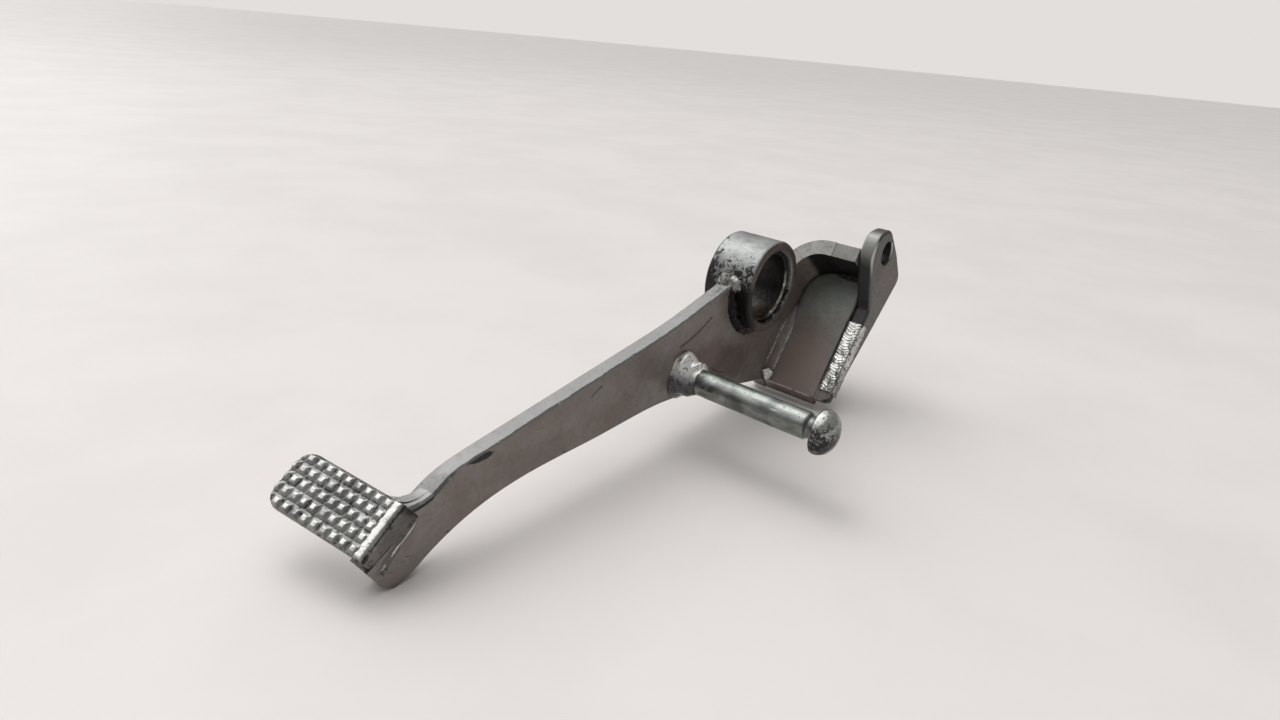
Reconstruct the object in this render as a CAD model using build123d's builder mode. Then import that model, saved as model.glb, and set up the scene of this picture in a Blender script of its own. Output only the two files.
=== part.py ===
"""Welded steel foot control lever for a motorcycle.

Units are millimetres. The pivot bore runs along Y through the origin. The arm
runs towards +X and droops a little, so the lever stands on the tip of its arm
and the lower end of its bracket. The spring peg points towards +Y and the
foot pad reaches out towards -Y.
"""

import os
from math import cos, radians, sin

from build123d import *

# Driving dimensions
plate = 5.5  # thickness of every flat plate
arm_droop = 12.4  # degrees the arm falls away from the pivot
web_droop = 55.7  # degrees the bracket web falls
boss_radius = 16
boss_bore = 12.5
boss_length = 18
bead_start = 20  # where the boss leaves the plate's upper edge
bead_sweep = 184
bush_radius = 11
bush_length = 14.4
peg_radius = 4.25
peg_x = 43.6
peg_z = -14.7
peg_body_end = 48.5
peg_head_start = 51.4
peg_head_radius = 7
peg_head_height = 6.2
neck_radius = 3.4
web_top = -35.8  # height of the web's upper face, square to the web
web_low = 25.5  # lower end of the web, along the web
wall_near = -22.9  # face of the bent wall that looks into the bracket
wall_rim = -19.1  # top of the bent wall, square to the web
seam_y = 14.8
ear_y = 24.2  # inner face of the ear
bend_radius = 10
ear_hole_x = -44.2
ear_hole_z = 1.1
ear_hole_radius = 4.1
pad_length = 31.8
pad_width = 15.4
tread_base = 1.3  # depth of the tread pattern
tread_sheet = 1.6
base_depth = 1.6
stud_pitch = 3.03
stud_columns = 9
stud_rows = 5

corner_x = 11.5  # where the arm's rear face crosses the pad's long edge
corner_leg = 4  # of the smooth weld where the pad meets the arm's rear face
ramp = 5  # run of the same weld along the arm's upper edge
through = 80  # a cut longer than the lever is thick

face_y = plate / 2  # the plate is centred on the boss
back_y = -plate / 2
web_under = web_top - plate
wall_far = wall_near - plate
ear_out = ear_y + plate
bend_outer = bend_radius + plate
bend_start = wall_near + bend_radius
bend_y = face_y + bend_radius
pad_under = tread_base + tread_sheet + base_depth


def turned(droop, x, y, z):
    """A vector given along, across and square to a direction that droops."""
    c = cos(radians(droop))
    s = sin(radians(droop))
    return Vector(x * c + z * s, y, -x * s + z * c)


def side(droop, y):
    """Upright plane at a given y, its x axis drooping from the horizontal."""
    return Plane(
        origin=(0, y, 0),
        x_dir=turned(droop, 1, 0, 0),
        z_dir=(0, -1, 0),
    )


def across_web(height):
    """Plane parallel to the web: x runs down the web and y along the bore."""
    return Plane(
        origin=turned(web_droop, 0, 0, height),
        x_dir=turned(web_droop, 1, 0, 0),
        z_dir=turned(web_droop, 0, 0, 1),
    )


# The tread faces up and forward and its outer end lifts a little
pad = Plane(
    origin=turned(arm_droop, 154.8, -13, 5.5),
    x_dir=turned(arm_droop, -0.172, 0.970, -0.174),
    z_dir=turned(arm_droop, 0.341, 0.224, 0.913),
)
pad_floor = pad.offset(-pad_under)
boss_axis = Axis((0, 0, 0), (0, 1, 0))
peg_axis = Axis(turned(arm_droop, peg_x, 0, peg_z), (0, 1, 0))

# Arm plate: a tapered blade that widens under the boss, with its rear end
# bent square to make one half of the bracket's end wall
with BuildPart() as arm_plate:
    with BuildSketch(side(arm_droop, face_y)):
        with BuildLine():
            Line((-15.4, 3.6), (14.7, 5.4))
            Spline(
                (14.7, 5.4),
                (27, 4.7),
                (44, 3.8),
                (64, 4.1),
                (97, 4.9),
                (124, 5.7),
                (133, 5.4),
                (141, 3.2),
            )
            Polyline(
                (141, 3.2),
                (147, 3),
                (160, -1),
                (158, -6.2),
                (156.4, -11.1),
                (153.7, -13.6),
                (148.1, -12.8),
            )
            Spline(
                (148.1, -12.8),
                (125.5, -8.1),
                (83.3, -13.9),
                (55.4, -18.8),
                (40.5, -23.9),
            )
            Polyline((40.5, -23.9), (-6, -43.6), (-8.4, -48.8), (-37.7, -21.2), (-22.5, -5))
            ThreePointArc((-22.5, -5), (-18.6, -1.6), (-15.4, 3.6))
        make_face()
    extrude(amount=plate)
    with BuildSketch(across_web(web_under)):
        with BuildLine():
            RadiusArc((bend_start, back_y), (wall_far, bend_y), bend_outer)
            Polyline(
                (wall_far, bend_y),
                (wall_far, seam_y),
                (wall_near, seam_y),
                (wall_near, bend_y),
            )
            RadiusArc((wall_near, bend_y), (bend_start, face_y), -bend_radius)
            Polyline(
                (bend_start, face_y),
                (bend_start + 3, face_y),
                (bend_start + 3, back_y),
                (bend_start, back_y),
            )
        make_face()
    extrude(amount=wall_rim - web_under)
    with BuildSketch(Plane.XZ.offset(-through / 2)):
        Circle(boss_radius)
    extrude(amount=through, mode=Mode.SUBTRACT)
    with BuildSketch(side(arm_droop, through / 2)):
        with Locations((peg_x, peg_z)):
            Circle(peg_radius)
    extrude(amount=through, mode=Mode.SUBTRACT)
    split(bisect_by=pad_floor, keep=Keep.BOTTOM)
arm_plate.part.label = "arm_plate"

# Pivot boss: a short thick tube with eased rims
with BuildPart() as pivot_boss:
    with BuildSketch(Plane.XZ.offset(-boss_length / 2)):
        Circle(boss_radius)
        Circle(boss_bore, mode=Mode.SUBTRACT)
    extrude(amount=boss_length)
    chamfer(pivot_boss.edges().filter_by(GeomType.CIRCLE), 0.7)
pivot_boss.part.label = "pivot_boss"

# Bush: a thin liner pressed into the boss, set back from both ends
with BuildPart() as pivot_bush:
    with BuildSketch(Plane.XZ.offset(-bush_length / 2)):
        Circle(boss_bore)
        Circle(bush_radius, mode=Mode.SUBTRACT)
    extrude(amount=bush_length)
    rims = pivot_bush.edges().filter_by(GeomType.CIRCLE)
    chamfer(rims.filter_by(lambda rim: rim.radius < boss_bore - 0.5), 0.4)
pivot_bush.part.label = "pivot_bush"


def boss_bead(foot_y, leg_out, leg_along):
    """Bead of weld round the part of the boss that sits in the plate."""
    start = Plane(
        origin=(0, 0, 0),
        x_dir=turned(arm_droop, cos(radians(bead_start)), 0, sin(radians(bead_start))),
        z_dir=turned(arm_droop, -sin(radians(bead_start)), 0, cos(radians(bead_start))),
    )
    with BuildPart() as bead:
        with BuildSketch(start):
            with BuildLine():
                Polyline(
                    (boss_radius, foot_y),
                    (boss_radius + leg_out, foot_y),
                    (boss_radius + leg_out * 0.5, foot_y + leg_along * 0.62),
                    (boss_radius, foot_y + leg_along),
                    (boss_radius, foot_y),
                )
            make_face()
        revolve(axis=boss_axis, revolution_arc=bead_sweep)
    return bead


boss_weld_front = boss_bead(face_y, 3.2, 3.4)
boss_weld_front.part.label = "boss_weld_front"
boss_weld_rear = boss_bead(back_y, 2.8, -3)
boss_weld_rear.part.label = "boss_weld_rear"

# Spring peg: a turned pin through the plate, with a hook groove and a domed head
with BuildPart() as spring_peg:
    with BuildSketch(Plane(peg_axis.position, x_dir=(1, 0, 0), z_dir=(0, 0, 1))):
        with BuildLine():
            Polyline(
                (0, back_y),
                (peg_radius, back_y),
                (peg_radius, peg_body_end - 0.7),
                (peg_radius - 0.7, peg_body_end),
                (neck_radius, peg_body_end),
                (neck_radius, peg_head_start - 0.5),
                (peg_head_radius - 0.9, peg_head_start - 0.3),
                (peg_head_radius, peg_head_start + 0.5),
            )
            Spline(
                (peg_head_radius, peg_head_start + 0.5),
                (peg_head_radius * 0.86, peg_head_start + peg_head_height * 0.5),
                (peg_head_radius * 0.5, peg_head_start + peg_head_height * 0.84),
                (0, peg_head_start + peg_head_height),
                tangents=((0, 1), (-1, 0)),
            )
            Line((0, peg_head_start + peg_head_height), (0, back_y))
        make_face()
    revolve(axis=peg_axis)
spring_peg.part.label = "spring_peg"

# Cone of weld where the peg leaves the plate
with BuildPart() as peg_weld:
    with BuildSketch(Plane(peg_axis.position, x_dir=(1, 0, 0), z_dir=(0, 0, 1))):
        with BuildLine():
            Polyline(
                (peg_radius, face_y),
                (8.4, face_y),
                (7.6, face_y + 2),
                (5.4, face_y + 4.6),
                (peg_radius, face_y + 7.4),
                (peg_radius, face_y),
            )
        make_face()
    revolve(axis=peg_axis)
peg_weld.part.label = "peg_weld"

# Web: the sloping floor of the bracket, between the arm plate and the ear
with BuildPart() as web_plate:
    with BuildSketch(side(web_droop, ear_y)):
        with BuildLine():
            Polyline(
                (wall_near, web_top),
                (web_low, web_top),
                (web_low + 1.8, web_under),
                (wall_near, web_under),
                (wall_near, web_top),
            )
        make_face()
    extrude(amount=ear_y - face_y)
    add(arm_plate.part, mode=Mode.SUBTRACT)
web_plate.part.label = "web_plate"

# Second half of the end wall, from the seam to the ear
with BuildPart() as wall_tab:
    with BuildSketch(across_web(web_under)):
        with BuildLine():
            Polyline(
                (wall_far, seam_y),
                (wall_near, seam_y),
                (wall_near, ear_y),
                (wall_far, ear_y),
                (wall_far, seam_y),
            )
        make_face()
    extrude(amount=wall_rim - web_under)
wall_tab.part.label = "wall_tab"

# Ear: the outer plate, with the hole for the rod's clevis pin near its top
with BuildPart() as clevis_ear:
    with BuildSketch(side(arm_droop, ear_out)) as ear_outline:
        with BuildLine():
            Polyline(
                (-47.9, 7),
                (-54.4, -3.5),
                (-60, -15.9),
                (-37, -30.3),
                (-9.9, -46.5),
                (-6.9, -44.8),
                (-35, -18.3),
                (-33.5, -8.5),
                (-32.2, 0.9),
            )
            Spline(
                (-32.2, 0.9),
                (-33.7, 6.6),
                (-37.8, 10),
                (-43, 9.9),
                (-47.9, 7),
                tangents=((0.1, 1), (-0.6, -1)),
            )
        make_face()
        fillet(ear_outline.vertices().sort_by(Axis.X)[0], 4)
        with Locations((ear_hole_x, ear_hole_z)):
            Circle(ear_hole_radius, mode=Mode.SUBTRACT)
    extrude(amount=plate)
    outer_rim = clevis_ear.faces().sort_by(Axis.Y)[-1].outer_wire().edges()
    chamfer(outer_rim.sort_by(Axis.Z)[4:], 0.6)
clevis_ear.part.label = "clevis_ear"

# Ripple bead laid along the top of the ear's sloping edge
with BuildPart() as ear_weld:
    ripple = Plane(
        origin=turned(web_droop, -8, 0, web_top),
        x_dir=(0, 1, 0),
        z_dir=turned(web_droop, 1, 0, 0),
    )
    with BuildSketch(ripple) as ripple_section:
        with BuildLine():
            Polyline(
                (ear_y, -2),
                (ear_y, 0.1),
                (ear_y + 1.6, 0.7),
                (ear_out - 1, 0.5),
                (ear_out + 0.9, -0.7),
                (ear_out + 0.8, -2),
                (ear_out, -2.8),
                (ear_out, -2),
                (ear_y, -2),
            )
        make_face()
    extrude(amount=30)
    add(clevis_ear.part, mode=Mode.SUBTRACT)
ear_weld.part.label = "ear_weld"

# Bead between the arm plate's face and the web
with BuildPart() as web_weld:
    with BuildSketch(
        Plane(
            origin=turned(web_droop, -5, face_y, web_top),
            x_dir=(0, 1, 0),
            z_dir=turned(web_droop, 1, 0, 0),
        )
    ):
        with BuildLine():
            Polyline((0, 0), (0, 3.8), (0.6, 3.6), (1.5, 1.5), (3.4, 0.6), (3.6, 0), (0, 0))
        make_face()
    extrude(amount=29)
web_weld.part.label = "web_weld"

# Bead in the corner between the web and the end wall
with BuildPart() as wall_weld:
    with BuildSketch(side(web_droop, ear_y)):
        with BuildLine():
            Line((wall_near, web_top), (wall_near, web_top + 2.4))
            RadiusArc((wall_near, web_top + 2.4), (wall_near + 2.4, web_top), -2.4)
            Line((wall_near + 2.4, web_top), (wall_near, web_top))
        make_face()
    extrude(amount=ear_y - face_y - bend_radius)
wall_weld.part.label = "wall_weld"

# Tread: a sheet with rows of pressed pyramids and a smooth lip by the arm
with BuildPart() as pad_tread:
    with BuildSketch(pad.offset(-tread_base)) as tread_outline:
        Rectangle(pad_length, pad_width)
        fillet(tread_outline.vertices().sort_by(Axis.X)[:2], 4.5)
    extrude(amount=-tread_sheet)
    with BuildSketch(pad.offset(-tread_base)):
        with Locations((0.6, 0)):
            with GridLocations(stud_pitch, stud_pitch, stud_columns, stud_rows):
                Rectangle(stud_pitch - 0.3, stud_pitch - 0.3)
    extrude(amount=tread_base, taper=38)
    with BuildSketch(pad.offset(-tread_base)):
        with Locations((pad_length / 2 - 0.9, 0)):
            Rectangle(1.8, pad_width)
    extrude(amount=tread_base - 0.2)
pad_tread.part.label = "pad_tread"

# Base plate that carries the tread
with BuildPart() as pad_base:
    with BuildSketch(pad.offset(-tread_base - tread_sheet)) as base_outline:
        Rectangle(pad_length - 1, pad_width - 1)
        fillet(base_outline.vertices().sort_by(Axis.X)[:2], 4)
    extrude(amount=-base_depth)
pad_base.part.label = "pad_base"


def pad_bead(y, reach, rise):
    """Bead along the joint of the pad's base and the arm's end, on one side."""
    start = turned(arm_droop, 143.5, y, 0.6 - y / 4)
    finish = turned(arm_droop, 158, y, -4.8 - y / 4)
    with BuildPart() as bead:
        with BuildSketch(Plane(origin=start, x_dir=(0, 1, 0), z_dir=finish - start)):
            Ellipse(rise, reach)
        extrude(amount=(finish - start).length)
        add(arm_plate.part, mode=Mode.SUBTRACT)
        add(pad_base.part, mode=Mode.SUBTRACT)
        add(pad_tread.part, mode=Mode.SUBTRACT)
    return bead


pad_weld_front = pad_bead(face_y, 3.2, 1.5)
pad_weld_front.part.label = "pad_weld_front"
pad_weld_rear = pad_bead(back_y, 3, 2.4)
pad_weld_rear.part.label = "pad_weld_rear"

# Weld that ramps from the arm's upper edge to the pad, hollow at the inner corner
with BuildPart() as pad_weld_corner:
    with BuildSketch(pad_floor):
        with BuildLine():
            RadiusArc(
                (corner_x - corner_leg, pad_width / 2),
                (corner_x, pad_width / 2 + corner_leg),
                -corner_leg - 1,
            )
            Polyline(
                (corner_x, pad_width / 2 + corner_leg),
                (corner_x + 0.1, pad_width / 2 + ramp),
                (corner_x + plate - 0.1, pad_width / 2 + ramp),
                (corner_x + plate - 0.4, pad_width / 2 - 1),
                (corner_x - corner_leg, pad_width / 2 - 1),
                (corner_x - corner_leg, pad_width / 2),
            )
        make_face()
    extrude(amount=tread_sheet + base_depth)
    slope = Plane(
        origin=pad.from_local_coords((0, pad_width / 2 + 0.3, -tread_base)),
        z_dir=pad.y_dir * (tread_sheet + base_depth) + pad.z_dir * (ramp - 0.3),
    )
    split(bisect_by=slope, keep=Keep.BOTTOM)
    add(arm_plate.part, mode=Mode.SUBTRACT)
    add(pad_tread.part, mode=Mode.SUBTRACT)
    add(pad_base.part, mode=Mode.SUBTRACT)
    add(pad_weld_front.part, mode=Mode.SUBTRACT)
    add(pad_weld_rear.part, mode=Mode.SUBTRACT)
pad_weld_corner.part.label = "pad_weld_corner"

parts = [
    arm_plate,
    pivot_boss,
    pivot_bush,
    boss_weld_front,
    boss_weld_rear,
    spring_peg,
    peg_weld,
    web_plate,
    wall_tab,
    clevis_ear,
    ear_weld,
    web_weld,
    wall_weld,
    pad_tread,
    pad_base,
    pad_weld_front,
    pad_weld_rear,
    pad_weld_corner,
]
os.makedirs("parts", exist_ok=True)
for item in parts:
    export_step(item.part, f"parts/{item.part.label}.step")
    box = item.part.bounding_box()
    print(item.part.label, len(item.part.solids()), round(item.part.volume, 1), box.min, box.max)
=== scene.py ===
"""Looks for a welded motorcycle foot lever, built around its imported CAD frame.

Lengths are in millimetres along the frame's axes; MM turns them into metres.
"""

import math

import bmesh
import bpy
from mathutils import Matrix, Vector, noise
from mathutils.bvhtree import BVHTree


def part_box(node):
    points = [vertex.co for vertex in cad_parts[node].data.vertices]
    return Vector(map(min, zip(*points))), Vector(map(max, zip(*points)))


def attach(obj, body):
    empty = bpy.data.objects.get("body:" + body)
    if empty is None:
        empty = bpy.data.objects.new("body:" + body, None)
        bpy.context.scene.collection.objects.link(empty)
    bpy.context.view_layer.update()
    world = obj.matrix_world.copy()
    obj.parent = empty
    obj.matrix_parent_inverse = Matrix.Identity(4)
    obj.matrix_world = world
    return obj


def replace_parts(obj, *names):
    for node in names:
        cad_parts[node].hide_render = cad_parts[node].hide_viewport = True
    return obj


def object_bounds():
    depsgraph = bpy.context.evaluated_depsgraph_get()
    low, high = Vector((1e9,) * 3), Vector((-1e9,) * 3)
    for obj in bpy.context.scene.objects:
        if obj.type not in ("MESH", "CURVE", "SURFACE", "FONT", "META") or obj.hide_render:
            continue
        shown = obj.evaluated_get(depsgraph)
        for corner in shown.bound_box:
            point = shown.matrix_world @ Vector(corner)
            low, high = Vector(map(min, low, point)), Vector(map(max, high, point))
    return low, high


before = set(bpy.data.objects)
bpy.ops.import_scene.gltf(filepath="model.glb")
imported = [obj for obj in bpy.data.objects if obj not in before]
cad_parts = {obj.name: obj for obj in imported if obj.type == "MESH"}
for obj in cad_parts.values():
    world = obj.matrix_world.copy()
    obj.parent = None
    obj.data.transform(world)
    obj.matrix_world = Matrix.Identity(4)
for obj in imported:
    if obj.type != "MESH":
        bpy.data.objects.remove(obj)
cad_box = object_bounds()

MM = 0.001
ARM_DROOP = math.radians(12.4)  # fall of the arm towards the pad
WEB_DROOP = math.radians(55.7)  # fall of the bracket's web
PLATE = 5.5
FACE_Y = PLATE / 2  # the arm's front face, on the peg's side
BACK_Y = -PLATE / 2
BOSS_R = 16.0
BORE_R = 11.0
WEB_TOP = -35.8  # level of the web's upper face, square to its slope
WEB_END = 25.5  # the web's cut end, along its slope
PEG_R = 4.25
NECK_R = 3.4  # floor of the peg's groove
BODY_END = 48.5  # where the groove starts
HEAD_START = 51.4
EAR_Y = 24.2  # the ear's inner face
EAR_OUT = EAR_Y + PLATE
PAD_LENGTH = 31.8
PAD_WIDTH = 15.4
PITCH = 3.03  # spacing of the studs
STUD = 0.78  # depth of the tread's pattern
ORIGIN = Vector((0, 0, 0))
ALONG_BORE = (0, 0, math.radians(90))  # turns a material's X axis to the bore


# ---------------------------------------------------------------- geometry
def turned(droop, x, y, z):
    """A point given along, across and square to a direction that droops."""
    c, s = math.cos(droop), math.sin(droop)
    return Vector((x * c + z * s, y, -x * s + z * c))


def arm(x, y, z):
    return turned(ARM_DROOP, x, y, z)


def web(x, y, z):
    return turned(WEB_DROOP, x, y, z)


pad_at = arm(154.8, -13, 5.5)
pad_x = arm(-0.172, 0.970, -0.174).normalized()
pad_z = arm(0.341, 0.224, 0.913)
pad_z = (pad_z - pad_x * pad_z.dot(pad_x)).normalized()
pad_y = pad_z.cross(pad_x)
pin_hole = arm(-44.2, 0, 1.1)
peg_centre = arm(43.6, 0, -14.7)


def on_pad(x, y, z):
    """A point along, across and above the pad's tread."""
    return pad_at + pad_x * x + pad_y * y + pad_z * z


def place(name, data, material):
    """Puts a mesh in the scene as a piece that rides on the lever."""
    obj = bpy.data.objects.new(name, data)
    bpy.context.scene.collection.objects.link(obj)
    obj.data.materials.append(material)
    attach(obj, "root")
    return obj


def even_normals(obj, weight):
    """Shades flat faces flat and their rounded edges round."""
    weigh = obj.modifiers.new("even normals", "WEIGHTED_NORMAL")
    weigh.keep_sharp = True
    weigh.weight = weight


def mesh_object(name, verts, faces, material, sharp=50):
    """A mesh in millimetres becomes a piece in metres."""
    data = bpy.data.meshes.new(name)
    data.from_pydata([Vector(v) * MM for v in verts], [], faces)
    bm = bmesh.new()
    bm.from_mesh(data)
    bmesh.ops.remove_doubles(bm, verts=bm.verts, dist=0.002 * MM)
    bmesh.ops.recalc_face_normals(bm, faces=bm.faces)
    mark_sharp(bm, sharp)
    bm.to_mesh(data)
    bm.free()
    return place(name, data, material)


def mark_sharp(bm, sharp):
    """Smooth shading, except across edges sharper than an angle in degrees."""
    for face in bm.faces:
        face.smooth = True
    for edge in bm.edges:
        if len(edge.link_faces) == 2:
            edge.smooth = edge.calc_face_angle(0) < math.radians(sharp)


def plate_piece(name, node, material, bevel):
    """A CAD plate with eased edges."""
    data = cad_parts[node].data.copy()
    data.materials.clear()
    bm = bmesh.new()
    bm.from_mesh(data)
    bmesh.ops.remove_doubles(bm, verts=bm.verts, dist=0.004 * MM)
    bmesh.ops.dissolve_limit(
        bm, angle_limit=math.radians(0.6), verts=bm.verts, edges=bm.edges
    )
    corner = math.radians(38)
    edges = [e for e in bm.edges if len(e.link_faces) == 2 and e.calc_face_angle(0) > corner]
    bmesh.ops.bevel(
        bm, geom=edges, offset=bevel * MM, segments=3, profile=0.5, affect="EDGES",
        clamp_overlap=True, harden_normals=False,
    )
    bmesh.ops.triangulate(bm, faces=[f for f in bm.faces if len(f.verts) > 4])
    mark_sharp(bm, 30)
    bm.to_mesh(data)
    bm.free()
    obj = place(name, data, material)
    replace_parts(obj, node)
    even_normals(obj, 90)


def face_loops(node, y):
    """The closed loops of points that bound a CAD plate's flat face at a given y."""
    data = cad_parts[node].data
    links = {}
    for face in data.polygons:
        points = [data.vertices[k].co / MM for k in face.vertices]
        if any(abs(q.y - y) > 0.01 for q in points):
            continue
        keys = [(round(q.x, 2), round(q.z, 2)) for q in points]
        for a, b in zip(keys, keys[1:] + keys[:1]):
            if a in links.get(b, ()):
                links[b].remove(a)
            else:
                links.setdefault(a, []).append(b)
    loops = []
    while any(links.values()):
        here = first = next(k for k, v in links.items() if v)
        loop = []
        while links.get(here):
            loop.append(here)
            here = links[here].pop()
            if here == first:
                break
        loops.append(loop)
    return loops


def evenly(loop, gap):
    """A closed loop's points again, at an even spacing."""
    pts = [Vector(q) for q in loop]
    lengths = [(b - a).length for a, b in zip(pts, pts[1:] + pts[:1])]
    count = max(12, int(sum(lengths) / gap))
    out, k, done = [], 0, 0.0
    for i in range(count):
        want = sum(lengths) * i / count
        while want > done + lengths[k]:
            done += lengths[k]
            k += 1
        a, b = pts[k], pts[(k + 1) % len(pts)]
        out.append(a.lerp(b, (want - done) / lengths[k]))
    for _ in range(2):
        out = [(out[i - 1] + 2 * out[i] + out[(i + 1) % count]) / 4 for i in range(count)]
    return out


ROUND_STEPS = 7
RIM_GAP = 0.45  # spacing of the points round a rounded rim


def rounded_plate(name, node, y_low, y_high, round_by, material):
    """A flat CAD plate again, with every rim rounded over, its holes' too."""
    loops = face_loops(node, y_low)
    bm = bmesh.new()
    caps = {y_low: [], y_high: []}
    for loop in loops:
        pts = evenly(loop, RIM_GAP)
        count = len(pts)
        area = sum(a.x * b.y - b.x * a.y for a, b in zip(pts, pts[1:] + pts[:1])) / 2
        largest = max(loops, key=len) is loop
        turn = 1 if (area > 0) == largest else -1
        inward = []
        for i in range(count):
            along = (pts[(i + 1) % count] - pts[i - 1]).normalized()
            inward.append(Vector((-along.y, along.x)) * turn)
        turns = [math.pi / 2 * k / (ROUND_STEPS - 1) for k in range(ROUND_STEPS)]
        rings = [
            (round_by * (1 - math.sin(a)), y_low + round_by * (1 - math.cos(a))) for a in turns
        ] + [
            (round_by * (1 - math.cos(a)), y_high - round_by * (1 - math.sin(a))) for a in turns
        ]
        rows = []
        for inset, y in rings:
            row = []
            for q, d in zip(pts, inward):
                w = q + d * inset
                row.append(bm.verts.new(Vector((w.x, y, w.y)) * MM))
            rows.append(row)
        for low_row, high_row in zip(rows, rows[1:]):
            for i in range(count):
                j = (i + 1) % count
                bm.faces.new((low_row[i], low_row[j], high_row[j], high_row[i]))
        for y, row in ((y_low, rows[0]), (y_high, rows[-1])):
            caps[y] += [bm.edges.get((row[i], row[(i + 1) % count])) for i in range(count)]
    for edges in caps.values():
        bmesh.ops.triangle_fill(bm, use_beauty=True, edges=edges)
    bmesh.ops.recalc_face_normals(bm, faces=bm.faces)
    mark_sharp(bm, 50)
    data = bpy.data.meshes.new(name)
    bm.to_mesh(data)
    bm.free()
    obj = place(name, data, material)
    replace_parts(obj, node)
    even_normals(obj, 50)


def grid_faces(rows, columns, wrap_rows=False, wrap_columns=False):
    """Four-sided faces between the points of a grid, numbered row by row."""
    faces = []
    for i in range(rows if wrap_rows else rows - 1):
        for j in range(columns if wrap_columns else columns - 1):
            a = i * columns + j
            b = i * columns + (j + 1) % columns
            c = ((i + 1) % rows) * columns + (j + 1) % columns
            d = ((i + 1) % rows) * columns + j
            faces.append((a, b, c, d))
    return faces


def rim_of(rows, columns):
    """A grid's outer points, in order round it."""
    return (
        list(range(columns))
        + [i * columns + columns - 1 for i in range(1, rows)]
        + [(rows - 1) * columns + j for j in range(columns - 2, -1, -1)]
        + [i * columns for i in range(rows - 2, 0, -1)]
    )


def slab_faces(rows, columns):
    """Faces of a closed slab: its upper grid's points, then its lower grid's."""
    top = rows * columns
    faces = grid_faces(rows, columns)
    faces += [tuple(top + k for k in f[::-1]) for f in grid_faces(rows, columns)]
    rim = rim_of(rows, columns)
    for a, b in zip(rim, rim[1:] + rim[:1]):
        faces.append((a, b, b + top, a + top))
    return faces


def capped_tube(count, around):
    """Faces of a tube of rings of points, closed at both ends."""
    faces = grid_faces(count, around, wrap_columns=True)
    faces.append(tuple(range(around))[::-1])
    faces.append(tuple(range((count - 1) * around, count * around)))
    return faces


def smooth_path(points, steps):
    """Points along a Catmull-Rom curve through the given ones."""
    pts = [Vector(p) for p in points]
    pts = [2 * pts[0] - pts[1]] + pts + [2 * pts[-1] - pts[-2]]
    line = []
    for i in range(1, len(pts) - 2):
        for k in range(steps):
            t = k / steps
            a, b, c, d = pts[i - 1 : i + 3]
            curve = (
                2 * b
                + (c - a) * t
                + (2 * a - 5 * b + 4 * c - d) * t * t
                + (3 * b - a - 3 * c + d) * t**3
            )
            line.append(0.5 * curve)
    line.append(pts[-2])
    return line


def smooth_profile(pairs):
    """(radius, y) pairs along a smooth curve through the given ones."""
    return [(p.x, p.y) for p in smooth_path([(r, y, 0) for r, y in pairs], 5)]


def lathe(name, profile, centre, material, around, bump):
    """A solid of revolution about the bore's direction from (radius, y) pairs."""
    per_mm = 3
    ring = []
    for (r0, y0), (r1, y1) in zip(profile, profile[1:] + profile[:1]):
        cuts = max(1, int(math.hypot(r1 - r0, y1 - y0) * per_mm))
        for k in range(cuts):
            t = k / cuts
            ring.append((r0 + (r1 - r0) * t, y0 + (y1 - y0) * t))
    verts = []
    for r, y in ring:
        for j in range(around):
            a = 2 * math.pi * j / around
            q = r + bump(r, y, a)
            verts.append(centre + Vector((q * math.cos(a), y, q * math.sin(a))))
    faces = grid_faces(len(ring), around, wrap_rows=True, wrap_columns=True)
    return mesh_object(name, verts, faces, material)


def there_and_back(pairs):
    """(radius, y) pairs, then their mirror images at the other end of the bore."""
    return pairs + [(r, -y) for r, y in reversed(pairs)]


def bead(name, path, across, material, width, height, ripple, pitch, rough, seed):
    """A run of weld: an uneven tube, half sunk in the plates it joins."""
    verts = []
    count, around = len(path), 40
    travelled = 0.0
    for i, p in enumerate(path):
        ahead = (path[min(i + 1, count - 1)] - path[max(i - 1, 0)]).normalized()
        out = Vector(across[i]) if isinstance(across, list) else Vector(across)
        out = (out - ahead * out.dot(ahead)).normalized()
        side = ahead.cross(out)
        if i:
            travelled += (p - path[i - 1]).length
        s = i / (count - 1)
        size = math.sin(math.pi * min(max(s, 0.0), 1.0)) ** 0.22
        for j in range(around):
            a = 2 * math.pi * j / around
            rise, spread = out * (height * math.sin(a)), side * (width * math.cos(a))
            lag = 0.55 * math.cos(a) * math.cos(a) * pitch
            wave = (0.5 + 0.5 * math.sin(2 * math.pi * (travelled + lag) / pitch)) ** 2
            r = 1 + ripple * (wave - 0.5)
            q = p + rise + spread
            r += rough * noise.noise(q * 0.55 + Vector((seed, 0, 0)))
            r += 0.5 * rough * noise.noise(q * 1.7 + Vector((0, seed, 0)))
            verts.append(p + (rise + spread) * (r * size))
    return mesh_object(name, verts, capped_tube(count, around), material, sharp=80)


def soft_step(a, b, x):
    """0 below a, 1 above b, and an even S between them."""
    t = min(max((x - a) / (b - a), 0.0), 1.0)
    return t * t * (3 - 2 * t)


# --------------------------------------------------------------- materials
def lin(*rgb):
    """Scene-linear colour of a 0-255 display colour."""
    out = []
    for c in rgb:
        c /= 255
        out.append(c / 12.92 if c <= 0.04045 else ((c + 0.055) / 1.055) ** 2.4)
    return (*out, 1.0)


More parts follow.
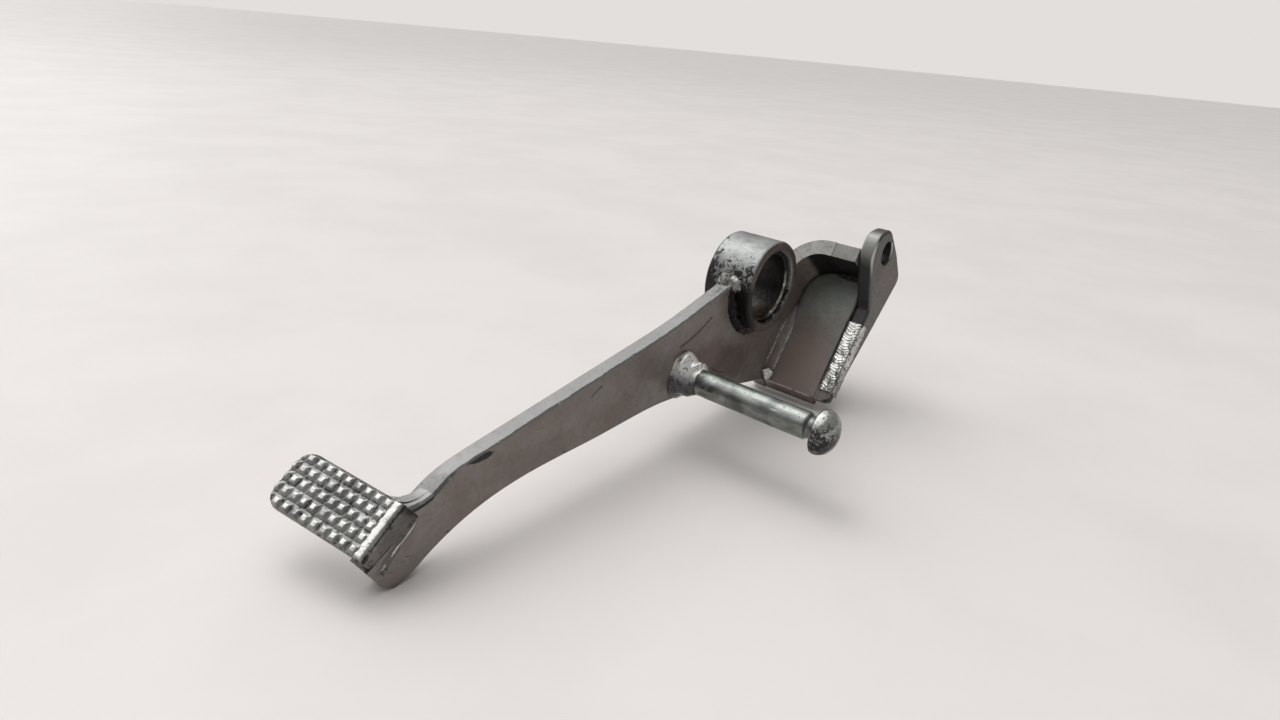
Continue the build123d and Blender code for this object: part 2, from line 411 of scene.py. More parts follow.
class Look:
    """Small helper that grows one node material, with lengths in millimetres."""

    def __init__(self, name, metallic, specular=0.5, coat=0.0):
        self.mat = bpy.data.materials.new(name)
        self.mat.use_nodes = True
        self.tree = self.mat.node_tree
        self.tree.nodes.clear()
        out = self.new("ShaderNodeOutputMaterial")
        self.bsdf = self.new("ShaderNodeBsdfPrincipled")
        self.tree.links.new(self.bsdf.outputs[0], out.inputs[0])
        self.bsdf.inputs["Metallic"].default_value = metallic
        self.bsdf.inputs["Specular IOR Level"].default_value = specular
        self.bsdf.inputs["Coat Weight"].default_value = coat
        coords = self.new("ShaderNodeTexCoord")
        scale = self.new("ShaderNodeVectorMath", operation="SCALE")
        self.tree.links.new(coords.outputs["Object"], scale.inputs[0])
        scale.inputs["Scale"].default_value = 1000
        self.pos = scale.outputs[0]
        geometry = self.new("ShaderNodeNewGeometry")
        self.normal = geometry.outputs["Normal"]

    def new(self, kind, **props):
        node = self.tree.nodes.new(kind)
        for key, value in props.items():
            setattr(node, key, value)
        return node

    def put(self, socket, value):
        """Links a socket to another, or sets its number."""
        if isinstance(value, bpy.types.NodeSocket):
            self.tree.links.new(value, socket)
        else:
            socket.default_value = value

    def math(self, op, a, b=0.0, clamp=False):
        node = self.new("ShaderNodeMath", operation=op, use_clamp=clamp)
        self.put(node.inputs[0], a)
        self.put(node.inputs[1], b)
        return node.outputs[0]

    def add(self, a, b, clamp=False):
        return self.math("ADD", a, b, clamp)

    def less(self, a, b, clamp=False):
        """The first value less the second."""
        return self.math("SUBTRACT", a, b, clamp)

    def times(self, a, b):
        return self.math("MULTIPLY", a, b)

    def most(self, a, b):
        """The larger of two values."""
        return self.math("MAXIMUM", a, b)

    def off_zero(self, a):
        """How far a value is from 0, whatever its sign."""
        return self.math("ABSOLUTE", a)

    def span(self, value, low, high, out_low=0.0, out_high=1.0):
        """Fades from one output to the other between two values."""
        node = self.new("ShaderNodeMapRange", interpolation_type="SMOOTHSTEP")
        self.put(node.inputs[0], value)
        for socket, number in zip(node.inputs[1:5], (low, high, out_low, out_high)):
            socket.default_value = number
        return node.outputs[0]

    def mix(self, share, a, b):
        node = self.new("ShaderNodeMix", data_type="RGBA")
        self.put(node.inputs[0], share)
        self.put(node.inputs[6], a)
        self.put(node.inputs[7], b)
        return node.outputs[2]

    def tint(self, colour, mask, share, rgb):
        """A colour with some of another mixed in where a mask says."""
        return self.mix(self.times(mask, share), colour, lin(*rgb))

    def noise(self, scale, detail=4.0, rough=0.55, twist=0.0, at=None):
        node = self.new("ShaderNodeTexNoise")
        self.put(node.inputs["Vector"], at or self.pos)
        node.inputs["Scale"].default_value = scale
        node.inputs["Detail"].default_value = detail
        node.inputs["Roughness"].default_value = rough
        node.inputs["Distortion"].default_value = twist
        return node.outputs["Fac"]

    def cells(self, scale):
        node = self.new("ShaderNodeTexVoronoi")
        self.put(node.inputs["Vector"], self.pos)
        node.inputs["Scale"].default_value = scale
        return node.outputs["Distance"]

    def vector(self, op, a, b=None):
        """A node of vector maths on a socket and a constant."""
        node = self.new("ShaderNodeVectorMath", operation=op)
        self.put(node.inputs[0], a)
        if b is not None:
            node.inputs[1].default_value = b
        return node.outputs

    def placed(self, origin=(0, 0, 0), turn=(0, 0, 0), scale=(1, 1, 1)):
        """Coordinates moved to an origin, then turned, then stretched."""
        rot = self.new("ShaderNodeVectorRotate", rotation_type="EULER_XYZ")
        self.put(rot.inputs["Vector"], self.vector("SUBTRACT", self.pos, origin)[0])
        rot.inputs["Rotation"].default_value = turn
        return self.vector("MULTIPLY", rot.outputs[0], scale)[0]

    def parts(self, vector):
        """The X, Y and Z of a vector."""
        node = self.new("ShaderNodeSeparateXYZ")
        self.put(node.inputs[0], vector)
        return node.outputs

    def along(self, origin, direction):
        """Millimetres from an origin, measured along a direction."""
        away = self.vector("SUBTRACT", self.pos, origin)[0]
        return self.vector("DOT_PRODUCT", away, Vector(direction).normalized())["Value"]

    def both(self, *masks):
        """The product of several masks."""
        total = masks[0]
        for mask in masks[1:]:
            total = self.times(total, mask)
        return total

    def spot(self, centre, radii, wobble, scale, soft):
        """1 inside an uneven ellipsoid round a point, fading to 0 outside."""
        at = self.placed(centre, scale=tuple(1 / r for r in radii))
        size = self.vector("LENGTH", at)["Value"]
        uneven = self.less(self.noise(scale, 5, 0.6), 0.5)
        uneven = self.times(uneven, 4 * wobble)
        d = self.add(size, uneven)
        return self.span(d, 1.0 - soft, 1.0 + soft, 1.0, 0.0)

    def tube(self, centre, radius, soft):
        """1 inside a cylinder along the bore's direction, 0 outside."""
        at = self.placed(centre, scale=(1 / radius, 0, 1 / radius))
        return self.span(self.vector("LENGTH", at)["Value"], 1 - soft, 1 + soft, 1.0, 0.0)

    def facing(self, direction, low, high):
        """1 where the surface faces a direction."""
        cosine = self.vector("DOT_PRODUCT", self.normal, Vector(direction).normalized())
        return self.span(cosine["Value"], low, high)

    def crease_shade(self, reach):
        """1 deep in corners, 0 in the open: the mask of painted crease shade."""
        node = self.new("ShaderNodeAmbientOcclusion", samples=6)
        node.inputs["Distance"].default_value = reach * MM
        return self.span(node.outputs["AO"], 0.35, 0.85, 1.0, 0.0)

    def scratches(self, turn, scale, width, keep, long):
        """Thin lines along the turned X axis, broken up into short runs."""
        at = self.placed(turn=turn, scale=(scale / long, scale, scale))
        line = self.noise(1.0, 2.0, 0.5, 0.15, at)
        away = self.off_zero(self.less(line, 0.5))
        thin = self.span(away, width * 0.4, width, 1.0, 0.0)
        patch = self.span(self.noise(0.13 * scale, 3, 0.6), keep, keep + 0.08)
        return self.times(thin, patch)

    def stroke(self, start, end, width, bow):
        """One scratch between two points on a face square to the bore."""
        a, b = Vector(start), Vector(end)
        ahead = b - a
        angle = math.atan2(ahead.z, ahead.x)
        at = self.parts(self.placed(start, turn=(0, angle, 0)))
        x, z = at[0], at[2]
        part = self.math("DIVIDE", x, ahead.length)
        arch = self.times(part, self.less(1.0, part))
        z = self.less(z, self.times(arch, 4 * bow))
        ragged = self.times(self.noise(1.1, 3), width)
        away = self.less(self.off_zero(z), ragged)
        thin = self.span(away, 0.0, width * 0.5, 1.0, 0.0)
        begun = self.span(x, -0.3, 0.6)
        ended = self.span(x, ahead.length - 0.8, ahead.length + 0.3, 1.0, 0.0)
        return self.times(thin, self.times(begun, ended))

    def bump(self, height, strength, distance):
        node = self.new("ShaderNodeBump")
        node.inputs["Strength"].default_value = strength
        node.inputs["Distance"].default_value = distance * MM
        self.put(node.inputs["Height"], height)
        if self.bsdf.inputs["Normal"].is_linked:
            self.put(node.inputs["Normal"], self.bsdf.inputs["Normal"].links[0].from_socket)
        self.put(self.bsdf.inputs["Normal"], node.outputs[0])

    def finish(self, colour, roughness):
        """Sets the last two inputs and gives the material back."""
        self.put(self.bsdf.inputs["Base Color"], colour)
        self.put(self.bsdf.inputs["Roughness"], roughness)
        return self.mat


def painted(name, warm, stains_and_painted_light=(), strokes=(), metallic=0.35, dark=1.0, masks=(),
            crease_shade=0.6):
    """Aged semi-gloss silver-grey paint: mottled, scuffed, scratched and stained, with painted shade
    in its creases and on its upright faces.

    stains_and_painted_light hold (centre, radii, colour, share) for stains and patches of
    painted light, strokes hold (start, end, width, bow) and masks hold (function, colour, share).
    """
    look = Look(name, metallic, specular=0.45, coat=0.12)
    look.bsdf.inputs["Coat Roughness"].default_value = 0.28

    def toned(*rgb):
        return [c * dark for c in rgb]

    broad = look.noise(0.05, 4, 0.6)
    fine = look.noise(0.9, 6, 0.65)
    colour = look.mix(
        look.span(broad, 0.35, 0.65), lin(*toned(158, 157, 154)), lin(*toned(146, 144, 139))
    )
    colour = look.tint(colour, look.span(fine, 0.42, 0.75), 0.35, toned(118, 116, 111))
    blotch = look.span(look.noise(0.24, 7, 0.7, 0.4), 0.46, 0.68)
    colour = look.tint(colour, blotch, 0.5, toned(112, 104, 98))
    dust = look.span(look.noise(2.2, 3, 0.6), 0.6, 0.7)
    colour = look.tint(colour, dust, 0.22, toned(176, 174, 170))
    # painted shade and a painted reflection of the pink table: the upright faces are browner and
    # darker, in uneven patches
    upright = look.span(look.off_zero(look.parts(look.normal)[1]), 0.5, 0.95)
    grime_and_shade = look.times(upright, look.span(look.noise(0.09, 5, 0.6), 0.25, 0.75, 0.3, 0.75))
    colour = look.tint(colour, grime_and_shade, warm, toned(124, 107, 100))
    for centre, radii, tint, share in stains_and_painted_light:
        mask = look.spot(centre, radii, wobble=0.45, scale=0.28, soft=0.45)
        colour = look.tint(colour, mask, share, tint)
    for make_mask, tint, share in masks:
        colour = look.tint(colour, make_mask(look), share, tint)
    # painted shade: darker deep in corners and creases
    corner = look.times(look.crease_shade(3.5), look.span(fine, 0.2, 0.6, 0.5, 1.0))
    colour = look.tint(colour, corner, crease_shade, (38, 33, 30))
    marks = look.scratches((0.0, 0.55, 0.0), 0.8, 0.007, 0.56, 14)
    more = look.scratches((0.2, -0.5, 0.3), 1.1, 0.006, 0.6, 10)
    marks = look.most(marks, more)
    for start, end, width, bow in strokes:
        marks = look.most(marks, look.stroke(start, end, width, bow))
    pits = look.span(look.cells(0.75), 0.10, 0.16, 1.0, 0.0)
    rare = look.span(look.noise(0.35, 2), 0.6, 0.68)
    pits = look.times(pits, rare)
    colour = look.tint(colour, marks, 0.75, (58, 54, 51))
    colour = look.tint(colour, pits, 0.8, (40, 37, 35))
    rough = look.span(fine, 0.3, 0.8, 0.34, 0.56)
    rough = look.add(rough, look.times(marks, 0.25), clamp=True)
    look.bump(look.less(1.0, look.most(marks, pits)), 0.5, 0.08)
    look.bump(fine, 0.18, 0.12)
    look.bump(look.noise(0.22, 3), 0.25, 0.5)
    return look.finish(colour, rough)


def worn_steel(name, light, shade, grime_and_shade, metallic, rough, grime_at=0.62, grime_scale=0.3,
               turn=(0, 0, 0), long=1.0, pit=0.6, pit_size=0.9, streak=0.3, masks=(),
               crease_shade=0.7, polish=None):
    """Bare or thinly painted steel, streaked, pitted and dirty, with painted shade in its hollows.

    masks hold (function, colour, share), and polish is a mask that shines more.
    """
    look = Look(name, metallic)
    fine = look.noise(1.3, 6, 0.65)
    patchy = look.noise(grime_scale, 6, 0.68, 0.6)
    colour = look.mix(look.span(look.noise(0.12, 4), 0.35, 0.65), lin(*light), lin(*shade))
    at = look.placed(turn=turn, scale=(1 / long, 1.0, 1.0))
    streaks = look.noise(1.6, 4, 0.6, 0.0, at)
    colour = look.tint(colour, look.span(streaks, 0.5, 0.75), streak, shade)
    dirt = look.span(patchy, grime_at, grime_at + 0.12)
    colour = look.tint(colour, dirt, 0.85, grime_and_shade)
    for make_mask, tint, share in masks:
        colour = look.tint(colour, make_mask(look), share, tint)
    # painted shade: darker deep in corners and creases
    corner = look.times(look.crease_shade(3.0), look.span(fine, 0.2, 0.6, 0.5, 1.0))
    colour = look.tint(colour, corner, crease_shade, (30, 26, 24))
    pits = look.span(look.cells(pit_size), 0.12, 0.2, 1.0, 0.0)
    pits = look.times(pits, look.span(look.noise(0.4, 2), pit, pit + 0.1))
    colour = look.tint(colour, pits, 0.9, (26, 24, 23))
    tone = look.span(fine, 0.3, 0.75, rough[0], rough[1])
    tone = look.add(tone, look.times(dirt, 0.22), clamp=True)
    if polish:
        tone = look.less(tone, look.times(polish(look), 0.14), clamp=True)
    look.bump(look.less(1.0, pits), 0.6, 0.12)
    look.bump(look.add(fine, look.times(streaks, 0.5)), 0.25, 0.08)
    return look.finish(colour, tone)


def plain_floor():
    """Pale, faintly clouded table top."""
    look = Look("floor_top", metallic=0.0, specular=0.3)
    cloud = look.noise(0.012, 5, 0.55)
    colour = look.mix(look.span(cloud, 0.35, 0.65), lin(227, 222, 219), lin(222, 217, 214))
    grain = look.noise(0.8, 4)
    look.bump(grain, 0.08, 0.05)
    return look.finish(colour, look.span(grain, 0.3, 0.7, 0.42, 0.55))


def within_y(look, *levels):
    """Fades with the distance along the bore."""
    return look.span(look.parts(look.pos)[1], *levels)


def above_pin(look, *levels):
    """Fades with the height above the clevis-pin hole."""
    return look.span(look.along(pin_hole, (0, 0, 1)), *levels)


def above_tread(look, *levels):
    """Fades with the height above the plane of the studs' tops."""
    return look.span(look.along(pad_at, pad_z), *levels)


def wall_shade(look):
    """Near black on the faces of the end wall that look into the bracket: painted shade, over old
    black grease.
    """
    inner = look.facing(web(1, 0, 0), 0.45, 0.75)
    return look.times(inner, within_y(look, 5.0, 7.0))


def front_edge_line(look):
    """Thin dark line where the paint has gone from the arm's upper front edge."""
    top = look.facing(arm(0, 0.35, 1), 0.62, 0.8)
    ragged = look.times(look.span(look.noise(0.25, 5, 0.65), 0.3, 0.7), 0.5)
    inner = look.less(look.parts(look.pos)[1], FACE_Y - 0.95)
    line = look.span(look.add(inner, ragged), 0.04, 0.26)
    on_arm = look.span(look.along(arm(12, 0, 0), arm(1, 0, 0)), 0, 2)
    return look.both(top, line, on_arm, look.span(look.noise(0.3, 4), 0.24, 0.36, 0.3, 1.0))


def arm_top(look):
    """Cleaner, flatter grey along the arm's upper edge."""
    return look.facing(arm(0, 0, 1), 0.8, 0.95)


def edge_chip(look):
    """Black chip in the arm's upper front edge, near the pad."""
    return look.spot(arm(124, FACE_Y, 5.2), (4.2, 1.15, 1.0), 0.2, 0.5, 0.12)


def boss_end_smudge(look):
    """Black smudges on the arm's upper edge, close to the boss."""
    near = look.span(look.along(arm(17, 0, 0), arm(1, 0, 0)), 2.0, 12.0, 1.0, 0.0)
    top = look.facing(arm(0, 0, 1), 0.6, 0.9)
    return look.both(near, top, look.span(look.noise(0.6, 6, 0.7, 0.8), 0.5, 0.58))


def web_rim_wear_and_highlight(look):
    """Paint worn bright along the lower rim of the web, with a painted highlight on the rounded rim.
    """
    edge = look.facing(web(0.7, 0, 0.7), 0.93, 0.98)
    return look.both(edge, look.span(look.noise(0.5, 4), 0.32, 0.5))


def web_end_light(look):
    """The cut end of the web, painted paler than its faces: painted light on a face that sits in
    shade.
    """
    at_end = look.span(look.along((0, 0, 0), web(1, 0, 0)), WEB_END - 6, WEB_END - 4)
    return look.both(look.facing(web(1, 0, 0), 0.7, 0.95), at_end)


def hole_wall_shade(look):
    """Painted shade: the dark wall of the clevis-pin hole."""
    return look.tube(pin_hole, 4.35, 0.03)


def hole_rim_shade(look):
    """Soft dark halo round the clevis-pin hole: painted shade of its rounded edge."""
    return look.tube(pin_hole, 5.5, 0.2)


def ear_side_shade(look):
    """Painted shade on the ear's narrow side, fading towards its crown and foot."""
    low_down = above_pin(look, -4.0, 4.5, 1.0, 0.25)
    not_foot = above_pin(look, -34.0, -30.0)
    return look.both(look.facing((1, 0, -0.3), 0.3, 0.7), low_down, not_foot)


def ear_crown_light(look):
    """Painted light: the ear's round upper edge, painted paler."""
    high_up = above_pin(look, -5.0, 3.0)
    return look.both(look.facing((0.9, -0.25, 0.35), 0.35, 0.8), high_up)


def ear_rim_highlight(look):
    """Painted highlight: a bright line along the rounded edge between the ear's side and its face.
    """
    edge = look.facing((0.72, 0.72, -0.1), 0.8, 0.95)
    high_up = above_pin(look, -9.0, 2.0, 0.12, 1.0)
    return look.both(edge, high_up)


def strip_specks(look):
    """Dark specks along the outer side of the ear's bead."""
    outer = within_y(look, EAR_OUT - 2.6, EAR_OUT - 0.2)
    return look.both(outer, look.span(look.noise(0.75, 5, 0.7), 0.51, 0.58))


def ring_face(look):
    """Old grease on the boss's flat end faces."""
    face = look.facing((0, 1, 0), 0.55, 0.9)
    return look.times(face, look.span(look.noise(0.5, 4), 0.25, 0.5, 0.55, 1.0))


def boss_grease(look):
    """Black scuffs that gather low on the boss and on the side by the arm."""
    x, y, z = look.parts(look.pos)
    low_down = look.times(look.span(z, -12, 10, 1.0, 0.0), 0.26)
    by_arm = look.times(look.span(x, 7, 15), 0.17)
    by_rear = look.times(look.span(y, -8.4, -4.5, 1.0, 0.0), 0.13)
    flecks = look.add(look.noise(0.36, 7, 0.74, 1.4), by_rear)
    total = look.add(flecks, look.add(low_down, by_arm))
    on_side = look.span(look.off_zero(look.parts(look.normal)[1]), 0.5, 0.9, 1.0, 0.0)
    return look.both(look.span(total, 0.66, 0.71), on_side)


def boss_under_shade_and_grease(look):
    """The black side of the boss between the arm and its front rim: painted shade in that corner,
    and grease.
    """
    x, y, z = look.parts(look.pos)
    side = look.both(look.span(x, 6, 11), within_y(look, 2.0, 3.4), look.span(z, 0.5, 4.5, 1.0, 0.0))
    return look.both(side, look.span(look.noise(0.5, 5, 0.65), 0.3, 0.42, 0.8, 1.0))


def bore_rust(look):
    """Brown grease low in the bore."""
    return look.spot((4, 0, -10), (8, 9, 5), 0.4, 0.4, 0.5)


def liner_rim_highlight(look):
    """Painted highlight: a bright arc on the liner's front edge, low on the side away from the arm.
    """
    face = look.facing((0, 1, 0), 0.25, 0.55)
    arc = look.span(look.along((0, 0, 0), (-0.85, 0, -0.55)), 6.5, 10.5)
    return look.both(face, arc, look.span(look.noise(0.5, 3), 0.4, 0.58, 0.25, 1.0))


def crown_highlight(look):
    """The shiniest spot on the weld on top of the boss, with a painted highlight."""
    return look.spot((16.6, 3.0, 4.6), (1.5, 1.3, 1.0), 0.5, 0.8, 0.5)


def crown_dark(look):
    """Black crevices round the weld that joins the arm's upper edge to the boss."""
    return look.span(look.noise(0.55, 6, 0.72, 1.2), 0.5, 0.57)


def collar_creases(look):
    """Dark creases between the melted lobes of the collar."""
    return look.span(look.noise(0.32, 6, 0.72, 1.6), 0.55, 0.61)


def collar_under_shade(look):
    """Painted shade: the black underside of the collar."""
    ragged = look.times(look.less(look.noise(0.5, 4), 0.5), 2.5)
    low_side = look.add(look.along(peg_centre, (0.25, 0, -1)), ragged)
    return look.span(low_side, -3.2, 1.4)


def peg_streaks(look):
    """Black smears on the peg, near the plate and near the groove."""
    at = look.placed(scale=(1.0, 0.3, 1.0))
    smear = look.span(look.noise(0.8, 6, 0.7, 0.6, at), 0.52, 0.6)
    start = within_y(look, 12, 22, 1.0, 0.25)
    return look.both(smear, start)


def on_head(look):
    return within_y(look, HEAD_START, HEAD_START + 0.5)


def head_scuffs(look):
    """Black scuffs low on the peg's head."""
    low_down = look.span(look.along(peg_centre, (-0.4, 0, 1)), -2.5, 3.5, 0.13, 0.0)
    flecks = look.add(look.noise(0.5, 7, 0.75, 1.3), low_down)
    return look.both(on_head(look), look.span(flecks, 0.54, 0.6))


def head_top_highlight(look):
    """The polished upper side of the peg's head, with a painted highlight."""
    return look.both(on_head(look), look.facing((0.45, 0.25, 0.85), 0.3, 0.95))


def bead_toe_highlights(look):
    """Painted highlights: bright speckled lines along the toes of the hollow weld between the arm
    and the web.
    """
    up = look.along(web(0, 0, WEB_TOP + 4.3), web(0, 0, 1))
    out = look.along((0, FACE_Y + 2.6, 0), (0, 1, 0))
    first = look.span(look.off_zero(up), 0.2, 1.5, 1.0, 0.0)
    second = look.span(look.off_zero(out), 0.1, 1.0, 1.0, 0.0)
    line = look.most(first, look.times(second, 0.8))
    return look.both(line, look.span(look.noise(0.7, 6, 0.7), 0.42, 0.58, 0.1, 1.0))


def stud_tops_worn_and_lit(look):
    """The flattened tops of the studs and the lip, rubbed bright by boots, with a painted highlight.
    """
    ragged = look.times(look.noise(0.5, 4, 0.65), 0.5)
    height = look.add(look.along(pad_at, pad_z), ragged)
    return look.span(height, -0.05, 0.15)


def stud_valley_shade(look):
    """Painted shade: darker grooves between the studs."""
    deep = above_tread(look, -0.74, -0.6, 1.0, 0.0)
    return look.both(deep, look.span(look.noise(0.6, 5, 0.6), 0.3, 0.6, 0.3, 1.0))


def stud_flecks(look):
    """Dark flecks of dirt caught between the studs."""
    deep = above_tread(look, -0.62, -0.4, 1.0, 0.0)
    return look.both(deep, look.span(look.noise(0.42, 6, 0.75, 1.0), 0.51, 0.56))


def lip_shade_line(look):
    """Painted shade: a black line under the lip, where the tread turns down to the arm."""
    out = look.span(look.along(pad_at, pad_x), PAD_LENGTH / 2 - 0.5, PAD_LENGTH / 2 - 0.2)
    drop = look.along(pad_at, pad_z)
    band = look.both(look.span(drop, -0.7, -0.5, 1.0, 0.0), look.span(drop, -1.6, -1.3))
    return look.both(out, band, look.span(look.noise(0.5, 4), 0.34, 0.44))


def wall_ridge_highlight(look):
    """Painted highlight: a bright line along the ridge half way down the weld at the pad's inner
    end.
    """
    level = look.times(look.along(pad_at, pad_y), -0.169)
    away = look.add(look.add(look.along(pad_at, pad_z), level), 5.9)
    away = look.add(away, look.times(look.noise(0.25, 4), 1.2))
    away = look.less(away, 0.6)
    thin = look.span(look.off_zero(away), 0.12, 0.4, 1.0, 0.0)
    return look.both(thin, look.span(look.noise(0.45, 5, 0.7), 0.42, 0.56))


def fold_shade_and_specks(look):
    """Painted shade in the fold at the foot of that weld, and black specks of dirt at its low
    corner.
    """
    level = look.times(look.along(pad_at, pad_y), -0.259)
    away = look.add(look.add(look.along(pad_at, pad_z), level), 8.3)
    thin = look.span(look.off_zero(away), 0.2, 0.8, 0.8, 0.0)
    corner = look.span(look.along(pad_at, pad_y), -7.0, -4.0, 0.09, 0.0)
    flecks = look.add(look.noise(0.5, 6, 0.75, 1.0), corner)
    return look.most(thin, look.span(flecks, 0.57, 0.62))


arm_paint = painted(
    "arm_paint",
    warm=1.0,
    stains_and_painted_light=(
        (arm(31, FACE_Y, -16), (13, 6, 7), (104, 80, 76), 0.6),
        (arm(16, FACE_Y, -24), (11, 5, 7), (84, 70, 66), 0.6),
        (arm(110, FACE_Y, -4), (16, 4, 4), (112, 98, 92), 0.4),
        (arm(-24, FACE_Y, -14), (9, 8, 12), (92, 84, 76), 0.5),
    ),
    strokes=(
        (arm(45, FACE_Y, -3.6), arm(27, FACE_Y, -0.5), 0.5, 0.9),
        (arm(85, FACE_Y, 0.4), arm(80, FACE_Y, 1.8), 0.35, -0.3),
        (arm(28, FACE_Y, -20), arm(20, FACE_Y, -26), 0.35, 0.8),
    ),
    masks=(
        (wall_shade, (9, 9, 9), 0.97),
        (arm_top, (142, 142, 142), 0.5),
        (front_edge_line, (22, 20, 19), 0.95),
        (edge_chip, (11, 10, 10), 0.97),
        (boss_end_smudge, (40, 37, 35), 0.75),
    ),
)
web_paint = painted(
    "web_paint",
    warm=0.6,
    metallic=0.1,
    stains_and_painted_light=(
        # painted light: the pale patch far down the web stands in for light that the arm's shadow
        # keeps off it, and the green-grey patch up by the wall is a painted reflection
        (web(4, 13, WEB_TOP), (9, 7, 9), (128, 112, 98), 0.5),
        (web(18, 13, WEB_TOP), (16, 14, 14), (150, 132, 126), 0.75),
        (web(-16, 13, WEB_TOP), (10, 12, 10), (110, 118, 108), 0.6),
    ),
    masks=(
        (wall_shade, (9, 9, 9), 0.97),
        (web_end_light, (150, 136, 132), 0.7),
        (web_rim_wear_and_highlight, (204, 198, 192), 0.85),
    ),
    dark=0.9,
)
ear_paint = painted(
    "ear_paint",
    warm=0.9,
    stains_and_painted_light=((arm(-47, EAR_OUT, -8), (5, 4, 9), (92, 74, 66), 0.6),),
    masks=(
        (hole_rim_shade, (40, 37, 35), 0.85),
        (ear_side_shade, (52, 55, 52), 0.7),
        (ear_crown_light, (158, 158, 155), 0.8),
        (ear_rim_highlight, (228, 226, 222), 0.85),
        (hole_wall_shade, (16, 15, 14), 0.96),
    ),
    dark=0.5,
)
shadow_paint = painted("shadow_paint", warm=0.3, metallic=0.1, dark=0.12)
weld_look = painted("weld_paint", warm=0.5, metallic=0.5, dark=0.95, crease_shade=0.4)
toe_look = painted(
    "toe_paint", warm=0.9, metallic=0.1, dark=0.94, crease_shade=0.0,
    masks=((bead_toe_highlights, (222, 214, 206), 0.95),),
)
pad_paint = painted("pad_paint", warm=0.4, metallic=0.5, dark=0.8)
peg_look = worn_steel(
    "peg_steel", (148, 151, 147), (98, 102, 99), (52, 48, 46), 0.8, (0.28, 0.44),
    turn=ALONG_BORE, long=14.0, pit=0.54, streak=0.35, crease_shade=0.9, polish=head_top_highlight,
    masks=(
        (head_top_highlight, (222, 221, 217), 0.7),
        (peg_streaks, (30, 28, 26), 0.85),
        (head_scuffs, (24, 22, 21), 0.92),
    ),
)
boss_look = worn_steel(
    "boss_silver", (156, 158, 156), (122, 123, 120), (30, 27, 25), 0.55, (0.34, 0.55),
    turn=ALONG_BORE, long=10.0, pit=0.58, streak=0.45, crease_shade=0.9,
    masks=(
        (ring_face, (84, 70, 64), 0.92),
        (boss_grease, (17, 15, 14), 0.94),
        (boss_under_shade_and_grease, (13, 12, 11), 0.96),
    ),
)
# painted shade: the liner's near-black colours stand in for the shade deep in the bore
liner_shade_look = worn_steel(
    "liner_steel", (32, 28, 26), (18, 16, 15), (14, 12, 10), 0.6, (0.30, 0.5), 0.55, 0.25,
    turn=ALONG_BORE, long=8.0, streak=0.4, crease_shade=0.0,
    masks=((bore_rust, (84, 60, 42), 0.6), (liner_rim_highlight, (214, 206, 194), 0.95)),
)
boss_weld_look = worn_steel(
    "boss_weld", (120, 108, 100), (70, 62, 57), (18, 16, 15), 0.55, (0.26, 0.46), 0.44,
    masks=((boss_under_shade_and_grease, (12, 11, 10), 0.95),),
)
crown_look = worn_steel(
    "crown_weld", (162, 162, 159), (104, 101, 97), (26, 23, 22), 0.6, (0.26, 0.46), 0.6, 0.35,
    masks=((crown_dark, (16, 15, 14), 0.9), (crown_highlight, (235, 233, 228), 0.8)),
    polish=crown_highlight,
)
# painted highlight: the collar's near-white colours stand in for its bright highlights, and its
# underside is painted dark as painted shade
collar_look = worn_steel(
    "collar_weld", (255, 254, 252), (240, 237, 232), (70, 64, 60), 0.3, (0.10, 0.22), 0.66, 0.4,
    masks=((collar_creases, (58, 54, 51), 0.75), (collar_under_shade, (26, 25, 24), 0.92)),
    crease_shade=0.5,
)
# painted highlight: the drop's near-white colours stand in for its highlights
blob_look = worn_steel(
    "blob_weld", (255, 254, 250), (246, 242, 236), (70, 62, 57), 0.4, (0.16, 0.30), 0.66, 0.5,
    crease_shade=0.1,
)
bright_look = worn_steel(
    "bright_weld", (218, 218, 214), (160, 160, 156), (34, 31, 29), 0.9, (0.22, 0.38), 0.68, 0.5,
    pit=0.54, pit_size=1.3, streak=0.25, crease_shade=0.5,
    masks=((strip_specks, (24, 22, 21), 0.9),),
)
tread_look = worn_steel(
    "tread_steel", (166, 166, 163), (130, 130, 127), (44, 41, 39), 0.55, (0.26, 0.40),
    grime_scale=0.4, crease_shade=0.2, polish=stud_tops_worn_and_lit,
    masks=(
        (stud_valley_shade, (104, 103, 101), 0.6),
        (stud_flecks, (26, 25, 24), 0.8),
        (stud_tops_worn_and_lit, (238, 238, 234), 0.85),
        (lip_shade_line, (16, 15, 14), 0.95),
    ),
)
pad_weld_look = worn_steel(
    "pad_weld", (132, 128, 125), (104, 100, 97), (40, 36, 34), 0.3, (0.32, 0.5), 0.6, 0.4,
    pit=0.62, crease_shade=0.25,
    masks=((wall_ridge_highlight, (232, 230, 224), 0.95), (fold_shade_and_specks, (30, 27, 25), 0.85)),
)

# ------------------------------------------------------------------ plates
plate_piece("arm", "arm_plate", arm_paint, 0.55)
plate_piece("bracket_web", "web_plate", web_paint, 0.8)
plate_piece("bracket_wall", "wall_tab", web_paint, 0.35)
rounded_plate("bracket_ear", "clevis_ear", EAR_Y, EAR_OUT, 1.0, ear_paint)
plate_piece("pad_plate", "pad_base", pad_paint, 0.5)

# -------------------------------------------------------------- pivot boss
boss_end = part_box("pivot_boss")[1].y / MM
liner_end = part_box("pivot_bush")[1].y / MM


def boss_uneven(r, y, a):
    """Slow and quick waves of a worn, painted surface."""
    at = Vector((math.cos(a) * 8, y * 0.35, math.sin(a) * 8))
    return 0.10 * noise.noise(at * 0.3) + 0.04 * noise.noise(at * 1.2) - 0.05


def liner_uneven(r, y, a):
    return 0.05 * noise.noise(Vector((math.cos(a) * 6, y, math.sin(a) * 6)))


